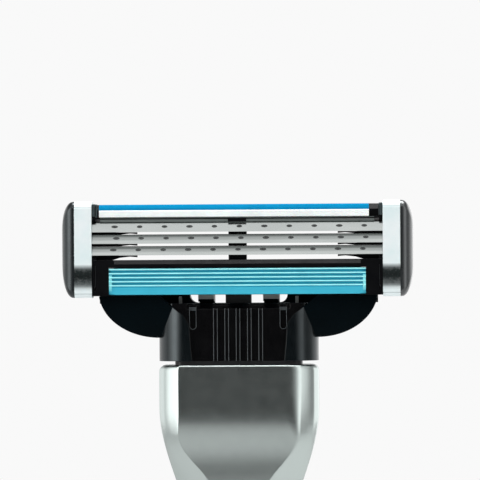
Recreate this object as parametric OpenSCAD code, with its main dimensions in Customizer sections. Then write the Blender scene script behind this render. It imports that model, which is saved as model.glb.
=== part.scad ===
// Cartridge razor: a pivoting three-blade head that plugs on to a swept metal handle.
// Millimetres. +Z runs up the handle to the head and the shaving face looks along -Y.
// The origin is the middle of the hand grip.
// Modules placed by at_head() are drawn about the middle of the shaving face,
// with Y = 0 on the face and +Y going back into the cartridge.

/* [Cartridge] */
// Width of the cartridge across its end caps
cart_w = 42; // [42:0.1:43]
// Height of the cartridge from guard to cap
cart_h = 11.5; // [11.4:0.05:11.6]
// Depth of the cartridge behind its shaving face
cart_d = 4.2; // [4.1:0.05:4.2]
// Height of the middle of the cartridge above the middle of the grip
head_z = 78; // [78:1:86]
// Width of each metal clip
clip_w = 2.1; // [1.9:0.05:2.1]
// Thickness of the clip's sheet
clip_t = 0.3; // [0.25:0.01:0.3]

/* [Blades] */
// Height from one cutting edge to the next
blade_pitch = 1.385; // [1.36:0.005:1.4]
// Height of the lowest cutting edge
edge_z = -0.68; // [-0.7:0.01:-0.66]
// Lean of the blades from the vertical
blade_lean = 22; // [20:1:24]
// Width of a blade strip from its edge to its back
blade_strip = 1.22; // [1.2:0.01:1.22]
// Thickness of a blade strip
blade_t = 0.1; // [0.08:0.01:0.12]
// Travel of a blade when it is pressed
blade_travel = 0.3; // [0.2:0.05:0.3]

/* [Pivot] */
// Depth of the pivot axis behind the face
pivot_y = 2.6; // [2.55:0.05:2.65]
// Height of the pivot axis
pivot_z = -3.8; // [-3.85:0.05:-3.75]
// Radius of the yoke's pivot pins
pin_r = 0.8; // [0.7:0.05:0.8]
// Radial play of the pivot pins
pin_play = 0.05; // [0.03:0.01:0.06]

/* [Yoke] */
// Width of the yoke's box
box_w = 19.16; // [19:0.02:19.2]
// Height of the underside of the yoke
box_bottom = -13.42; // [-13.5:0.02:-13.4]
// Width of the tongue inside the yoke
tongue_w = 15.2; // [15:0.1:15.2]

/* [Handle] */
// Half width of the handle at the head
head_half = 9.6; // [9.6:0.1:10]
// Half width of the neck at its narrowest
neck_half = 5.2; // [5.2:0.1:5.6]
// Half width of the grip
grip_half = 6.8; // [6.6:0.1:7.2]
// Height of the seat of the end cap
cap_seat_z = -52; // [-60:1:-52]
// Length of the end cap
cap_len = 6; // [6:0.5:8]

/* [Hidden] */

// Colours of the mouldings and metals
BLACK = "#17181b";
GLOSS = "#2a2c30";
STEEL = "#b9bcbb";
SILVER = "#c9cfd2";
CYAN = "#54b4cc";
BLUE = "#1a96d8";
WHITE = "#f1f5f4";
RUBBER = "#222426";

// Small allowances
eps = 0.05;
seat_gap = 0.02;
slide_gap = 0.05;
round_fn = 48;

// Cartridge
half_w = cart_w / 2;
half_h = cart_h / 2;
clip_x0 = half_w - 1.5 - clip_w;
clip_x1 = half_w - 1.5;
block_x = 16.95;
blade_half = 18.3;
fin_half = 15.35;
base_half = 14.8;
guard_back = 2.2;
guard_face = 0.12;
guard_top = -1.25;
fin_top = -2.21;
fin_bottom = -5.43;
fin_seat_y = 0.9;
ledge_z = 3.04;
tray_half = 16.9;
strip_x0 = -16.5;
strip_x1 = 15.75;
strip_split_z = 4.68;
post_half = 1.08;
post_front = 1.6;
post_back = 3.4;
blade_y = clip_t + 0.06;
support_t = 0.28;
leg_back = 3.4;
leg_half = 14.6;
slot_back = 1.5;
finger_x = [2.95, 4.86];
lug_r = 0.6;
lug_y = 5;
lug_z = -4;

// Yoke, tongue and plunger
box_front = 1.6;
box_back = 8.6;
box_top = -6.5;
tongue_y = [2.95, 7.25];
tongue_top = -6.6;
ear_x = [15, 16.6];
ear_r = 1.45;
wing_y = [4.9, 7.4];
wing_top = -4.4;
window_x = 5.87;
plunger_half = 1.53;
plunger_y = 4.65;
plunger_half_d = 1.2;
plunger_top = lug_z - lug_r - 0.04;
plunger_bottom = -10.2;
plunger_stroke = 1.8;
spring_seat_z = -18;
spring_bore_r = 1.1;
collar_bottom = -13.9;

// Handle
top_z = head_z + collar_bottom;
front_top_y = -5;
rear_top_y = 2.6;
face_y = front_top_y - 1.3;
rim = 0.35;
cover_z = [top_z - 18.6, top_z - 3.1];
cover_half = 4.95;
cover_t = 1.2;
cover_y = rear_top_y - cover_t;
bay_half = 4.75;
bay_front = face_y + 6.05;
bar_z = top_z - 15.6;
bar_h = 2.5;
bar_y = [face_y + 6.25, cover_y - 0.25];
prong_x = [3.2, 4.6];
prong_top = -9.4;
stroke = 3;
stem_half = 1.4;
stem_z = [bar_z + 0.3, bar_z + 2.3];
button_half = 3.3;
button_z = [bar_z - 2.7, bar_z + 5.9];
front_pad_z = [-40, 27];
front_pad_half = 3.7;
front_pad_floor = -3.7;
rear_pad_z = [-30, 24];
rear_pad_half = 3.6;
rear_pad_floor = 3;
pad_proud = 0.45;
rib_pitch = 3.2;
plug_r = 2.4;
plug_len = 5;

// Rises smoothly from 0 to 1 as t goes from 0 to 1.
function smooth(t) = let (u = min(max(t, 0), 1)) u * u * (3 - 2 * u);
// Half width of the handle at height z: full at the head, waisted at the neck, fuller at the grip.
function half_at(z) = head_half
    - (head_half - neck_half) * smooth((top_z - 5.1 - z) / 19)
    + (grip_half - neck_half) * smooth((40 - z) / 28)
    - 1.3 * smooth((-18 - z) / 40);
// Front and rear surfaces of the handle.
function front_at(z) = front_top_y
    + 1.8 * smooth((top_z - 5.1 - z) / 13)
    - 2.1 * smooth((42 - z) / 34)
    + 0.9 * smooth((-20 - z) / 38);
function rear_at(z) = rear_top_y
    + 2.3 * smooth((40 - z) / 34)
    - 2.4 * smooth((-12 - z) / 46);
// Half widths of the flat panels on the front and the rear.
function front_panel_at(z) = 8
    - 5.6 * smooth((top_z - 5.9 - z) / 12)
    + 2.2 * smooth((42 - z) / 22)
    - 0.9 * smooth((-18 - z) / 40);
function rear_panel_at(z) = half_at(z) - 1 - 1.2 * smooth((42 - z) / 22);
// Depths of the bevels beside those panels.
function front_bevel_at(z) = 1.3 + 0.7 * smooth((top_z - 6 - z) / 12) + 0.6 * smooth((40 - z) / 22);
function rear_bevel_at(z) = 1.2 + 1.2 * smooth((42 - z) / 22);

// A corner at b between a and c, rounded by a parabolic arc that starts r away from it.
corner_steps = 3;
function round_corner(a, b, c, r) =
    let (p = b + r * (a - b) / norm(a - b), q = b + r * (c - b) / norm(c - b))
    [for (i = [0 : corner_steps]) let (t = i / corner_steps)
        (1 - t) * (1 - t) * p + 2 * t * (1 - t) * b + t * t * q];
// The eight corners of the handle's section at height z, pulled in by inset.
function section_corners(z, inset) = let (
        w = half_at(z) - inset, p = front_panel_at(z), q = rear_panel_at(z) - inset,
        f = front_at(z) + inset, r = rear_at(z) - inset,
        fb = front_bevel_at(z), rb = rear_bevel_at(z))
    [[-p, f], [p, f], [w, f + fb], [w, r - rb], [q, r], [-q, r], [-w, r - rb], [-w, f + fb]];
function section(z, inset = 0) = let (c = section_corners(z, inset))
    [for (k = [0 : 7]) each round_corner(c[(k + 7) % 8], c[k], c[(k + 1) % 8], k < 2 ? 0.3 : 0.55)];
// Points of a quarter ellipse about c, from angle a0 to a1.
function arc_points(c, r, a0, a1, steps = 8) =
    [for (i = [0 : steps]) let (a = a0 + (a1 - a0) * i / steps) [c.x + r.x * cos(a), c.y + r.y * sin(a)]];

module at_head() translate([0, face_y, head_z]) children();
module both_sides() {
    children();
    mirror([1, 0, 0]) children();
}
module block(low, high) translate(low) cube(high - low);
// Extrusions of a (Y, Z) outline along X, an (X, Z) outline along Y and an (X, Y) outline along Z.
module along_x(x0, x1) translate([x0, 0, 0]) rotate([90, 0, 90]) linear_extrude(x1 - x0) children();
module along_y(y0, y1) translate([0, y1, 0]) rotate([90, 0, 0]) linear_extrude(y1 - y0) children();
module along_z(z0, z1) translate([0, 0, z0]) linear_extrude(z1 - z0) children();
module rod_x(x0, x1, r) translate([x0, 0, 0]) rotate([0, 90, 0]) cylinder(h = x1 - x0, r = r, $fn = round_fn);
module rod_y(y0, y1, r) translate([0, y1, 0]) rotate([90, 0, 0]) cylinder(h = y1 - y0, r = r, $fn = round_fn);
module rounded_rect(low, high, r) {
    translate([low.x + r, low.y]) square([high.x - low.x - 2 * r, high.y - low.y]);
    translate([low.x, low.y + r]) square([high.x - low.x, high.y - low.y - 2 * r]);
    for (x = [low.x + r, high.x - r], y = [low.y + r, high.y - r])
        translate([x, y]) circle(r = r, $fn = round_fn);
}

// Round wire wound into a compression spring along Z.
module coil(r, wire, length, turns) {
    sides = 6;
    per_turn = 12;
    n = turns * per_turn;
    pts = [for (i = [0 : n]) let (a = 360 * i / per_turn, z = wire + (length - 2 * wire) * i / n)
        for (k = [0 : sides - 1]) let (b = 360 * k / sides)
            [(r + wire * cos(b)) * cos(a), (r + wire * cos(b)) * sin(a), z + wire * sin(b)]];
    skin = [for (i = [0 : n - 1], k = [0 : sides - 1]) let (m = (k + 1) % sides)
        [i * sides + k, (i + 1) * sides + k, (i + 1) * sides + m, i * sides + m]];
    ends = [[for (k = [0 : sides - 1]) k], [for (k = [sides - 1 : -1 : 0]) n * sides + k]];
    polyhedron(points = pts, faces = concat(skin, ends), convexity = 8);
}

// ---- Cartridge ----

// Outline of the cartridge seen from its end, pulled in by inset.
module end_view(inset, r) rounded_rect([inset, -half_h + inset], [cart_d - inset, half_h - inset], r);
// Glossy end cap, rounded in front view, in plan and in end view.
module end_cap_block() {
    x0 = clip_x1;
    intersection() {
        along_x(x0, half_w) end_view(0, 0.9);
        along_y(0, cart_d) polygon(concat(
            [[x0, -half_h]],
            arc_points([half_w - 1.35, -half_h + 3.6], [1.35, 3.6], -90, 0),
            arc_points([half_w - 1.35, half_h - 3], [1.35, 3], 0, 90),
            [[x0, half_h]]));
        along_z(-half_h, half_h) polygon(concat(
            [[x0, 0]],
            arc_points([half_w - 1.2, 1.3], [1.2, 1.3], -90, 0),
            arc_points([half_w - 0.9, cart_d - 0.9], [0.9, 0.9], 0, 90),
            [[x0, cart_d]]));
    }
}
// Corner plate beside the fins, in front of the pocket for the yoke's ear.
module guard_end() {
    block([base_half - eps, guard_face, -half_h + 0.2], [clip_x0 - seat_gap, 0.88, guard_top]);
    block([block_x, guard_face, -half_h + 0.2], [clip_x0 - seat_gap, cart_d - 0.3, guard_top]);
}
// Springy finger that stands behind blade i at each end.
module spring_finger(i) {
    z = edge_z + i * blade_pitch;
    root_drop = i == 0 ? 0.64 : 0.42;
    along_y(1.55, 2.15) polygon([[block_x + eps, z + 0.1], [14.1, z - 0.02], [12, z - 0.02], [12, z - 0.24],
        [12.9, z - 0.17], [14.1, z - 0.3], [15.2, z - root_drop], [block_x + eps, z - root_drop]]);
}
module cartridge_housing() color(GLOSS) at_head() difference() {
    union() {
        both_sides() {
            end_cap_block();
            along_x(block_x, clip_x1 + eps) end_view(clip_t + seat_gap, 0.6);
            guard_end();
            for (i = [0 : 2]) spring_finger(i);
            block([3.1, guard_back - eps, fin_bottom], [4.7, cart_d, fin_bottom + 0.75]);
        }
        // Cap bar with the tray for the strips
        along_x(-block_x - eps, block_x + eps) polygon([[0.3, 3.64], [0.3, 3.84], [0.8, 3.84], [0.8, 4.72],
            [1.3, 5.33], [3.3, 5.38], [3.6, 5.1], [3.6, ledge_z + 0.06], [1.7, ledge_z], [1.7, 3.26], [1.3, 3.3]]);
        // Guard bar and the floor behind the fins
        along_x(-base_half, base_half) polygon([[guard_face, fin_top], [guard_face, fin_top + 0.45],
            [0.5, guard_top], [guard_back, guard_top], [guard_back, fin_bottom + 0.25],
            [guard_back - 0.25, fin_bottom - 0.02], [fin_seat_y, fin_bottom - 0.02], [fin_seat_y, fin_top]]);
        // Centre post
        block([-post_half, post_front, guard_top - eps], [post_half, post_back, ledge_z + eps * 2]);
        block([-post_half, 0.32, 3.3], [post_half, post_front, 3.7]);
        // Cam lug that rests on the plunger
        block([-1.2, guard_back - eps, lug_z - 0.5], [1.2, lug_y, lug_z + lug_r]);
        translate([0, lug_y, lug_z]) rod_x(-1.2, 1.2, lug_r);
    }
    both_sides() {
        translate([0, pivot_y, pivot_z]) rod_x(block_x - eps, 18.5, pin_r + pin_play);
        // Slot for the blade ends, closed at the front by the clip
        block([block_x - eps, clip_t - 0.1, edge_z - 0.3], [18.5, slot_back, ledge_z + 0.35]);
        // Groove between the corner plate and the clip
        block([block_x, 0, -5], [block_x + 0.14, guard_face + 0.4, -1.9]);
    }
    // Fin seat in the corner plates
    block([-fin_half - seat_gap, 0, fin_bottom - 0.02], [fin_half + seat_gap, fin_seat_y, fin_top]);
}

ridge_z = [for (i = [0 : 4]) fin_top - 0.18 - i * 0.4825];
module guard_fins() color(CYAN) at_head() {
    back = fin_seat_y - seat_gap;
    fin_low = fin_bottom + seat_gap;
    union() {
        // Floor of the pad with the plain band below the ridges
        along_x(-fin_half, fin_half) polygon([[0.5, fin_top - seat_gap], [0.5, -4.42], [0.2, -4.46],
            [0.3, fin_low], [back, fin_low], [back, fin_top - seat_gap]]);
        for (z = ridge_z)
            along_x(-fin_half, fin_half) union() {
                translate([0.15, z]) circle(r = 0.1, $fn = 24);
                translate([0.15, z - 0.1]) square([0.4, 0.2]);
            }
        both_sides() block([fin_half - 0.6, 0.12, -4.44], [fin_half, 0.6, fin_top - seat_gap]);
    }
}
module lubricating_strip() color(WHITE) at_head()
    along_x(strip_x0, strip_x1) polygon([[0.12, 3.92], [0.16, 3.87], [0.78, 3.87], [0.78, strip_split_z],
        [0.2, strip_split_z], [0.12, 4.58]]);
module indicator_stripe() color(BLUE) at_head()
    along_x(strip_x0, strip_x1) polygon([[0.21, strip_split_z + seat_gap], [0.78, strip_split_z + seat_gap],
        [0.78, 4.74], [1.27, 5.37], [0.82, 5.36], [0.5, 5.2], [0.3, 4.95]]);

// Bent band round the end of the cartridge, open at the back.
module clip() color(SILVER) at_head() difference() {
    along_x(clip_x0, clip_x1 - seat_gap) end_view(0, 0.9);
    along_x(clip_x0 - eps, clip_x1) end_view(clip_t, 0.6);
    block([clip_x0 - eps, cart_d - 1, -3.9], [clip_x1, cart_d + eps, 3.9]);
}
module clip_right() clip();
module clip_left() mirror([1, 0, 0]) clip();

// Outlines of blade i and of its bent support in the plane of travel, edge at the origin.
module blade_outline(i) translate([blade_y, edge_z + i * blade_pitch]) rotate(-blade_lean)
    polygon([[0, 0], [blade_t / 2, 0.02], [blade_t, 0.3], [blade_t, blade_strip], [0, blade_strip], [0, 0.3]]);
module support_outline(i) translate([blade_y, edge_z + i * blade_pitch]) {
    rotate(-blade_lean) translate([blade_t, 0.44]) square([support_t, blade_strip - 0.44]);
    translate([0.36, 0.28]) square([leg_back - blade_y - 0.36, support_t]);
}
module blade(i) color(STEEL) at_head() along_x(-blade_half, blade_half) blade_outline(i);
module blade_support(i) color("#8d9092") at_head() difference() {
    union() {
        along_x(-blade_half, blade_half) intersection() {
            support_outline(i);
            translate([0, edge_z + i * blade_pitch]) square([slot_back - blade_travel - 0.05, 2]);
        }
        along_x(-leg_half, leg_half) support_outline(i);
    }
    block([-post_half - 0.2, post_front - blade_travel - 0.1, -2], [post_half + 0.2, leg_back + 1, 4]);
}
module blade_1() blade(0);
module blade_2() blade(1);
module blade_3() blade(2);
module blade_support_1() blade_support(0);
module blade_support_2() blade_support(1);
module blade_support_3() blade_support(2);

// ---- Yoke ----

// Front view of one wing up to the given height.
module wing_outline(top) polygon(concat(
    [[8, top]], [[8, -10.62]],
    [for (p = arc_points([9.5, -5], [7.25, 5.62], -90, 0, 16)) if (p.y < top) p],
    [[top < -5 ? 9.5 + 7.25 * cos(asin((-5 - top) / 5.62)) : 16.75, top]]));
module yoke() color(BLACK) at_head() difference() {
    union() {
        // Box round the tongue
        along_z(box_bottom, box_top) rounded_rect([-box_w / 2, box_front], [box_w / 2, box_back], 2.5);
        both_sides() {
            along_y(wing_y[0], wing_y[1]) wing_outline(wing_top);
            along_y(2.3, wing_y[0] + eps) wing_outline(box_top);
            // Shoulder beside the window
            block([window_x, wing_y[0], box_top - 0.5], [8 + eps, wing_y[1], wing_top]);
            ear();
            // Stop finger behind the guard
            block([finger_x[0], cart_d + 0.04, box_top + 0.2], [finger_x[1], box_back - 0.4, -4.9]);
            block([finger_x[0], tongue_y[1] + 0.2, box_top - 0.5], [finger_x[1], box_back - 0.4, -4.9]);
        }
    }
    // Socket for the tongue
    block([-tongue_w / 2 - slide_gap, tongue_y[0] - slide_gap, box_bottom - 1],
        [tongue_w / 2 + slide_gap, tongue_y[1] + slide_gap, tongue_top + slide_gap]);
    block([-window_x, tongue_y[0] - slide_gap, tongue_top], [window_x, tongue_y[1] + slide_gap, box_top + 0.2]);
    // Recessed front panel between its slanting seams
    difference() {
        along_y(box_front - 1, box_front + 0.4) polygon([[-5.4, box_bottom - 1], [5.4, box_bottom - 1],
            [6.1, -8.7], [7.8, -6.98], [8.7, box_top + 1], [-8.7, box_top + 1], [-7.8, -6.98], [-6.1, -8.7]]);
        for (i = [-2 : 2])
            block([i * 1.32 - 0.22, box_front + 0.12, box_bottom - 1], [i * 1.32 + 0.22, box_front + 0.5, box_top + 1]);
    }
    both_sides() {
        // Blind slot with a round foot
        along_y(box_front, box_front + 0.85) union() {
            translate([5.4, -9.22]) circle(r = 0.43, $fn = 32);
            translate([5.4 - 0.43, -9.22]) square([0.86, 2.5]);
        }
        // Slope that runs back down the front of the wing
        along_x(box_w / 2, 18) polygon([[0, box_top + 0.1], [2.3, box_top + 0.1], [2.6, -7.4],
            [3.6, -9.4], [4.9, -10.8], [0, -10.8]]);
    }
}
// Ear and pin that carry the cartridge, reaching forward from the wing.
module ear() {
    along_x(ear_x[0], ear_x[1]) union() {
        translate([pivot_y, pivot_z]) circle(r = ear_r, $fn = round_fn);
        polygon([[pivot_y, pivot_z + 1.1], [5.3, wing_top + 0.05], [5.3, -6], [4.9, -6], [4.2, -5.35],
            [pivot_y, pivot_z - 1.3]]);
    }
    translate([0, pivot_y, pivot_z]) rod_x(ear_x[1] - eps, 18.3, pin_r);
}

// ---- Nose, plunger and ejector ----

module nose() color(BLACK) at_head() difference() {
    union() {
        block([-tongue_w / 2, tongue_y[0], box_bottom - 0.1], [tongue_w / 2, tongue_y[1], tongue_top]);
        along_z(collar_bottom, box_bottom - seat_gap) rounded_rect([-tongue_w / 2, 1.9], [tongue_w / 2, 8.2], 0.9);
        block([-6.4, tongue_y[0], collar_bottom - 10], [6.4, 5.95, collar_bottom + 0.1]);
    }
    // Slot of the plunger and bore of its spring
    block([-plunger_half - slide_gap, plunger_y - plunger_half_d - slide_gap, plunger_bottom - plunger_stroke],
        [plunger_half + slide_gap, plunger_y + plunger_half_d + slide_gap, tongue_top + 1]);
    translate([0, plunger_y, spring_seat_z])
        cylinder(h = plunger_bottom - plunger_stroke - spring_seat_z + 0.1, r = spring_bore_r, $fn = round_fn);
    // Grooves of the ejector's prongs
    both_sides() block([prong_x[0] - 0.1, 6.15, collar_bottom - 1], [prong_x[1] + 0.1, 9, tongue_top + 1]);
    // Cross hole of the retaining pin
    translate([0, 0, spring_seat_z - 4]) rod_y(2, 7, 0.9);
}
module nose_pin() color(STEEL) at_head()
    translate([0, 0, spring_seat_z - 4]) rod_y(2.15, 5.93, 0.88);
module plunger() color(BLACK) at_head() difference() {
    block([-plunger_half, plunger_y - plunger_half_d, plunger_bottom],
        [plunger_half, plunger_y + plunger_half_d, plunger_top]);
    // Bevel along the front of its tip
    along_x(-2, 2) polygon([[3, plunger_top - 0.5], [plunger_y - plunger_half_d, plunger_top - 0.5],
        [plunger_y - plunger_half_d + 0.35, plunger_top], [3, plunger_top + 0.5]]);
}
module plunger_spring() color(STEEL) at_head() translate([0, plunger_y, spring_seat_z + seat_gap])
    coil(0.82, 0.13, plunger_bottom - spring_seat_z - 2 * seat_gap, 8);
module ejector() color(RUBBER) difference() {
    union() {
        block([-prong_x[1], bar_y[0], bar_z], [prong_x[1], bar_y[1], bar_z + bar_h]);
        both_sides() block([prong_x[0], bar_y[0], bar_z], [prong_x[1], bar_y[0] + 0.9, head_z + prong_top]);
    }
    // Hole of the button's stem
    block([-stem_half - seat_gap, bar_y[0] + 0.4, stem_z[0] - seat_gap],
        [stem_half + seat_gap, bar_y[1] + 1, stem_z[1] + seat_gap]);
}
module eject_button() color(BLACK) difference() {
    union() {
        block([-stem_half, bar_y[0] + 0.45, stem_z[0]], [stem_half, rear_top_y + 0.2, stem_z[1]]);
        along_y(rear_top_y + slide_gap, rear_top_y + 1.1)
            rounded_rect([-button_half, button_z[0]], [button_half, button_z[1]], 1.6);
        // Thumb ribs
        for (i = [0 : 4])
            translate([0, rear_top_y + 1.1, button_z[0] + 1.7 + i * 1.3]) rod_x(-2.4, 2.4, 0.4);
    }
}
module button_spring() color(STEEL) translate([0, bay_front + 0.8, bar_z + bar_h + seat_gap])
    coil(0.6, 0.11, top_z - bar_z - bar_h - 2 * seat_gap, 14);

// ---- Handle ----

// Heights of the rings that the handle is lofted through.
ring_z = concat(
    [for (z = [cap_seat_z : 4 : 36]) z],
    [for (z = [38 : 1.6 : top_z - rim - 0.8]) z],
    [top_z - rim]);
module handle_loft() {
    rings = concat([for (z = ring_z) [for (p = section(z)) [p.x, p.y, z]]],
        [[for (p = section(top_z, rim)) [p.x, p.y, top_z]]]);
    n = len(rings[0]);
    last = len(rings) - 1;
    skin = [for (i = [0 : last - 1], j = [0 : n - 1]) let (k = (j + 1) % n)
        [i * n + j, (i + 1) * n + j, (i + 1) * n + k, i * n + k]];
    ends = [[for (j = [0 : n - 1]) j], [for (j = [n - 1 : -1 : 0]) last * n + j]];
    polyhedron(points = [for (ring = rings) each ring], faces = concat(skin, ends), convexity = 6);
}
module handle_body() color(SILVER) difference() {
    handle_loft();
    // Pocket of the nose's root, bay of the ejector and seat of the rear cover
    block([-6.42, face_y + tongue_y[0] - seat_gap, top_z - 10.05], [6.42, bay_front + eps, top_z + 1]);
    block([-bay_half, bay_front, bar_z - 0.3], [bay_half, cover_y + eps, top_z + 1]);
    along_y(cover_y - seat_gap, rear_top_y + 1)
        rounded_rect([-cover_half - seat_gap, cover_z[0] - seat_gap], [cover_half + seat_gap, cover_z[1] + seat_gap], 1.5);
    translate([0, 0, head_z + spring_seat_z - 4]) rod_y(face_y + 2.13, bay_front, 0.9);
    // Seats of the two grip pads
    along_y(-9, front_pad_floor + seat_gap)
        rounded_rect([-front_pad_half - seat_gap, front_pad_z[0] - seat_gap],
            [front_pad_half + seat_gap, front_pad_z[1] + seat_gap], 3);
    along_y(rear_pad_floor - seat_gap, 9)
        rounded_rect([-rear_pad_half - seat_gap, rear_pad_z[0] - seat_gap],
            [rear_pad_half + seat_gap, rear_pad_z[1] + seat_gap], 3);
    // Bore of the end cap's plug
    translate([0, cap_axis_y, cap_seat_z - 1]) cylinder(h = plug_len + 1, r = plug_r + seat_gap, $fn = round_fn);
}
module rear_cover() color("#8f979b") difference() {
    along_y(cover_y, rear_top_y)
        rounded_rect([-cover_half, cover_z[0]], [cover_half, cover_z[1]], 1.5);
    // Window that the button's stem slides in
    block([-stem_half - 0.1, cover_y - 1, stem_z[0] - 0.2], [stem_half + 0.1, rear_top_y + 1, stem_z[1] + stroke + 0.2]);
}

// Side view of a pad: flat floor, ribbed outside that follows the handle's surface.
function pad_surface(z, side) = side < 0 ? front_at(z) - pad_proud : rear_at(z) + pad_proud;
function pad_points(z0, z1, side) = [for (z = [z0 : rib_pitch : z1 - rib_pitch * 0.6])
    each [for (s = [0, 0.62, 0.74, 0.88]) let (v = z + s * rib_pitch, cut = s > 0.7 ? 0.35 : 0)
        [pad_surface(v, side) - side * cut, v]]];
module pad(z_range, half, floor_y, side) {
    points = pad_points(z_range[0], z_range[1], side);
    intersection() {
        along_y(-9, 9) rounded_rect([-half, z_range[0]], [half, z_range[1]], 3);
        along_x(-half, half) polygon(concat(points, [[pad_surface(z_range[1], side), z_range[1]],
            [floor_y, z_range[1]], [floor_y, z_range[0]]]));
    }
}
module front_grip() color(RUBBER) pad(front_pad_z, front_pad_half, front_pad_floor, -1);
module rear_grip() color(RUBBER) pad(rear_pad_z, rear_pad_half, rear_pad_floor, 1);

// End cap: the handle's last section carried down to a small flat butt.
cap_bottom = cap_seat_z - cap_len;
cap_axis_y = (front_at(cap_seat_z) + rear_at(cap_seat_z)) / 2;
module end_cap() color(BLACK) union() {
    w = half_at(cap_seat_z);
    f = front_at(cap_seat_z);
    r = rear_at(cap_seat_z);
    intersection() {
        along_z(cap_bottom, cap_seat_z - seat_gap) polygon(section(cap_seat_z));
        along_y(-12, 12) polygon(concat([[-w, cap_seat_z]],
            arc_points([-w + 2.4, cap_seat_z - 1.5], [2.4, cap_len - 1.5], 180, 270),
            arc_points([w - 2.4, cap_seat_z - 1.5], [2.4, cap_len - 1.5], 270, 360), [[w, cap_seat_z]]));
        along_x(-12, 12) polygon(concat([[f, cap_seat_z]],
            arc_points([f + 1.8, cap_seat_z - 1.5], [1.8, cap_len - 1.5], 180, 270),
            arc_points([r - 1.8, cap_seat_z - 1.5], [1.8, cap_len - 1.5], 270, 360), [[r, cap_seat_z]]));
    }
    translate([0, cap_axis_y, cap_seat_z - eps]) cylinder(h = plug_len - 0.1, r = plug_r, $fn = round_fn);
}

cartridge_housing();
guard_fins();
lubricating_strip();
indicator_stripe();
clip_left();
clip_right();
blade_support_1();
blade_support_2();
blade_support_3();
blade_1();
blade_2();
blade_3();
yoke();
nose();
nose_pin();
plunger();
plunger_spring();
ejector();
eject_button();
button_spring();
handle_body();
rear_cover();
front_grip();
rear_grip();
end_cap();
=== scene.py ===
import math

import bmesh
import bpy
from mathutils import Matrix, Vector


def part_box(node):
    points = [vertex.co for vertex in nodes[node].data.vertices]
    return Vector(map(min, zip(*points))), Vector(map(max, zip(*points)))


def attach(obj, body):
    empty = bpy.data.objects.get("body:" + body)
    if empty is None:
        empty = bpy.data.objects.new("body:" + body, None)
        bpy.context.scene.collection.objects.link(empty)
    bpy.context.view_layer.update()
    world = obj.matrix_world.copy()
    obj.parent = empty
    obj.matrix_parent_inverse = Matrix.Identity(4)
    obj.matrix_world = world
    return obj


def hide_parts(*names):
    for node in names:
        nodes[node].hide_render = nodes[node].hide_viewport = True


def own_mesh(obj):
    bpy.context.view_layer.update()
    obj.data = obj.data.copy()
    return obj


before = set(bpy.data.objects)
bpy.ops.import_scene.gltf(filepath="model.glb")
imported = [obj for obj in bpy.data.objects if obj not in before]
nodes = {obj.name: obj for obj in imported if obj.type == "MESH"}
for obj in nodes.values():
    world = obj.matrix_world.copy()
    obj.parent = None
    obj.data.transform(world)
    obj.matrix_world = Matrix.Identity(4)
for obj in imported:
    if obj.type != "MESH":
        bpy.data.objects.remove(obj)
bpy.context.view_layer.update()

# ---------------------------------------------------------------- places, in millimetres
MM = 0.001
SIDES = (-1, 1)                         # left and right


def box_mm(node):
    """Lowest and highest corner of a CAD node's box."""
    lo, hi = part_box(node)
    return lo / MM, hi / MM


clip_lo, clip_hi = box_mm("clip_right")
FACE_Y = clip_lo.y                      # plane of the shaving face
HEAD_Z = (clip_lo.z + clip_hi.z) / 2    # middle of the cartridge
HALF_H = (clip_hi.z - clip_lo.z) / 2    # half its height
CART_D = clip_hi.y - clip_lo.y          # its depth
CLIP_OUT = clip_hi.x                    # outer side of the right clip, where the end cap begins
HALF_W = box_mm("cartridge_housing")[1].x   # half its width over the end caps
fin_lo, fin_hi = box_mm("guard_fins")
body_lo, body_hi = box_mm("handle_body")
TOP_Z = body_hi.z                       # top of the metal handle
BASE_Z = body_lo.z                      # seat of the end cap
HEAD_HALF = body_hi.x                   # half the width of the handle at its top
FLOOR_Z = box_mm("end_cap")[0].z        # the razor stands on its end cap


def head_point(x, y, z):
    """A point given about the middle of the shaving face."""
    return Vector((x, FACE_Y + y, HEAD_Z + z))


# ---------------------------------------------------------------- mesh helpers
SAME_POINT = 1e-8                       # metres: points closer than this are one point
CAD_SAME_POINT = 2e-6                   # the same, in a copy of a CAD mesh
FLAT_ANGLE = 1                          # degrees: facets that differ by less become one face
CRISP_ANGLE = 30                        # degrees: edges sharper than this stay crisp


def mesh_object(name, verts, faces, smooth=True):
    """A mesh object from points in millimetres."""
    mesh = bpy.data.meshes.new(name)
    mesh.from_pydata([Vector(v) * MM for v in verts], [], faces)
    mesh.validate()
    bm = bmesh.new()
    bm.from_mesh(mesh)
    bmesh.ops.remove_doubles(bm, verts=bm.verts, dist=SAME_POINT)
    bmesh.ops.dissolve_degenerate(bm, edges=bm.edges, dist=SAME_POINT)
    bmesh.ops.recalc_face_normals(bm, faces=bm.faces)
    bm.to_mesh(mesh)
    bm.free()
    for poly in mesh.polygons:
        poly.use_smooth = smooth
    obj = bpy.data.objects.new(name, mesh)
    bpy.context.scene.collection.objects.link(obj)
    return obj


def lofted(name, rings, smooth=True):
    """A closed skin through rings of equal length, with flat ends."""
    n = len(rings[0])
    verts = [p for ring in rings for p in ring]
    faces = []
    for i in range(len(rings) - 1):
        for j in range(n):
            k = (j + 1) % n
            faces.append((i * n + j, i * n + k, (i + 1) * n + k, (i + 1) * n + j))
    faces.append(tuple(range(n)))
    faces.append(tuple((len(rings) - 1) * n + j for j in range(n)))
    return mesh_object(name, verts, faces, smooth)


def apply_modifiers(obj):
    """Bakes the object's modifiers into its mesh."""
    bpy.context.view_layer.update()
    deps = bpy.context.evaluated_depsgraph_get()
    mesh = bpy.data.meshes.new_from_object(obj.evaluated_get(deps))
    obj.modifiers.clear()
    obj.data = mesh


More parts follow.
